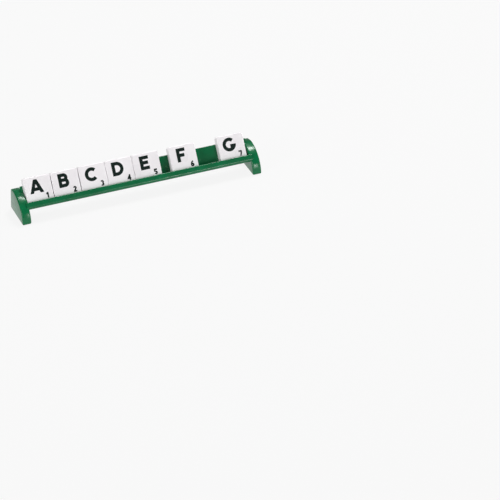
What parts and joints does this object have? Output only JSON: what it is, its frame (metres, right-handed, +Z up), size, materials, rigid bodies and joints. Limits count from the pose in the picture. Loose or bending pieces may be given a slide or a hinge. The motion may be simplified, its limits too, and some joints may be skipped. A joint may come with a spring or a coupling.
{
  "type": "travel tile rack",
  "caption": "Narrow rack with rounded end plates and a leaning channel, holding square letter tiles that lift out or slide along it.",
  "frame": {"origin": "on the table, midway along the rack and midway through its depth", "axes": "+X along the rack, +Y from the player's side to the back, +Z up"},
  "size_m": [0.1102, 0.0188, 0.0175],
  "materials": {
    "rack_green": "glossy injection-moulded polystyrene",
    "tile_white": "satin injection-moulded ABS, printed letters"
  },
  "bodies": {
    "rack": {"rack": "rack_green"},
    "tile_1": {"tile_1": "tile_white"},
    "tile_2": {"tile_2": "tile_white"},
    "tile_3": {"tile_3": "tile_white"},
    "tile_4": {"tile_4": "tile_white"},
    "tile_5": {"tile_5": "tile_white"},
    "tile_6": {"tile_6": "tile_white"},
    "tile_7": {"tile_7": "tile_white"}
  },
  "joints": [
    {"name": "tile_1_lift", "type": "slide", "parent": "rack", "child": "tile_1", "axis": [0, 0.4695, 0.8829], "range_m": [0, 0.013]},
    {"name": "tile_2_lift", "type": "slide", "parent": "rack", "child": "tile_2", "axis": [0, 0.4695, 0.8829], "range_m": [0, 0.013]},
    {"name": "tile_3_lift", "type": "slide", "parent": "rack", "child": "tile_3", "axis": [0, 0.4695, 0.8829], "range_m": [0, 0.013]},
    {"name": "tile_4_lift", "type": "slide", "parent": "rack", "child": "tile_4", "axis": [0, 0.4695, 0.8829], "range_m": [0, 0.013]},
    {"name": "tile_5_slide", "type": "slide", "parent": "rack", "child": "tile_5", "axis": [1, 0, 0], "range_m": [0, 0.0047]},
    {"name": "tile_6_slide", "type": "slide", "parent": "rack", "child": "tile_6", "axis": [1, 0, 0], "range_m": [-0.0047, 0.0102]},
    {"name": "tile_7_slide", "type": "slide", "parent": "rack", "child": "tile_7", "axis": [1, 0, 0], "range_m": [-0.0102, 0.0007]}
  ]
}
